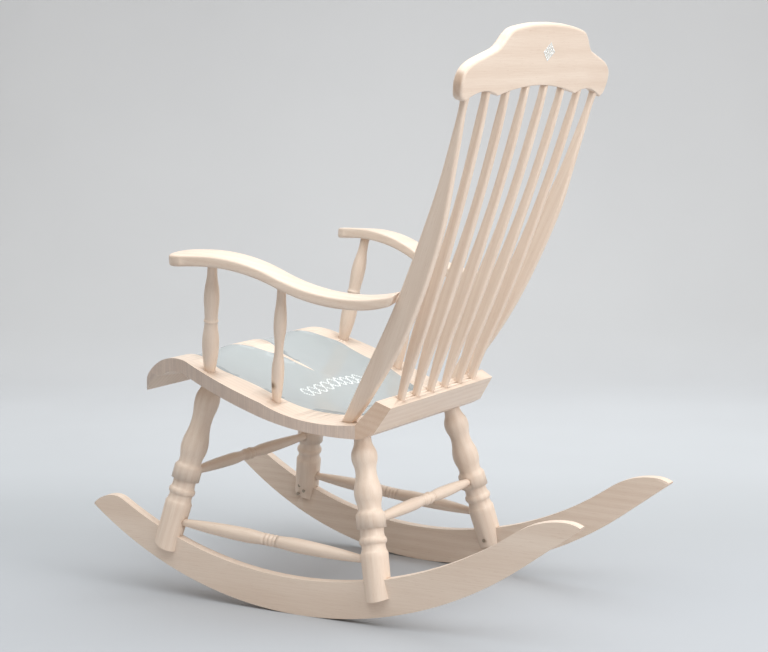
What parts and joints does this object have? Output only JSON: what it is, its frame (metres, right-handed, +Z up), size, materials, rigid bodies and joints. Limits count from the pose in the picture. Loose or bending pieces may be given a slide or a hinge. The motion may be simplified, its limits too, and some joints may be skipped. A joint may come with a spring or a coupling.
{
  "type": "rocking chair",
  "caption": "Bare birch rocking chair: bowed runners, turned legs and stretchers, dished rolled seat, curved arms on turned spindles, spindle back with a shaped crest rail.",
  "frame": {"origin": "on the floor, under the middle of the chair's bounding box, where the runners rest at their lowest points' height", "axes": "the chair faces -Y, the sitter's left is +X, +Z is up; the runners rock about a line parallel to X"},
  "size_m": [0.7, 1.0668, 1.1459],
  "materials": {
    "bare_wood": "sanded bare birch, unfinished, fine straight grain",
    "seat_wood": "sanded bare birch rim, with the two hollows in a satin pale grey-blue paint",
    "screw_steel": "plain dark steel screws"
  },
  "bodies": {
    "root": {"runner_left": "bare_wood", "leg_front_left": "bare_wood", "leg_rear_left": "bare_wood", "stretcher_side_left": "bare_wood", "arm_left": "bare_wood", "arm_spindle_front_left": "bare_wood", "arm_spindle_middle_left": "bare_wood", "back_post_left": "bare_wood", "runner_right": "bare_wood", "leg_front_right": "bare_wood", "leg_rear_right": "bare_wood", "stretcher_side_right": "bare_wood", "arm_right": "bare_wood", "arm_spindle_front_right": "bare_wood", "arm_spindle_middle_right": "bare_wood", "back_post_right": "bare_wood", "stretcher_front": "bare_wood", "stretcher_rear": "bare_wood", "seat_board": "seat_wood", "seat_rail": "bare_wood", "crest_rail": "bare_wood", "back_spindle_1": "bare_wood", "back_spindle_2": "bare_wood", "back_spindle_3": "bare_wood", "back_spindle_4": "bare_wood", "back_spindle_5": "bare_wood", "back_spindle_6": "bare_wood", "foot_screws": "screw_steel"}
  },
  "joints": []
}
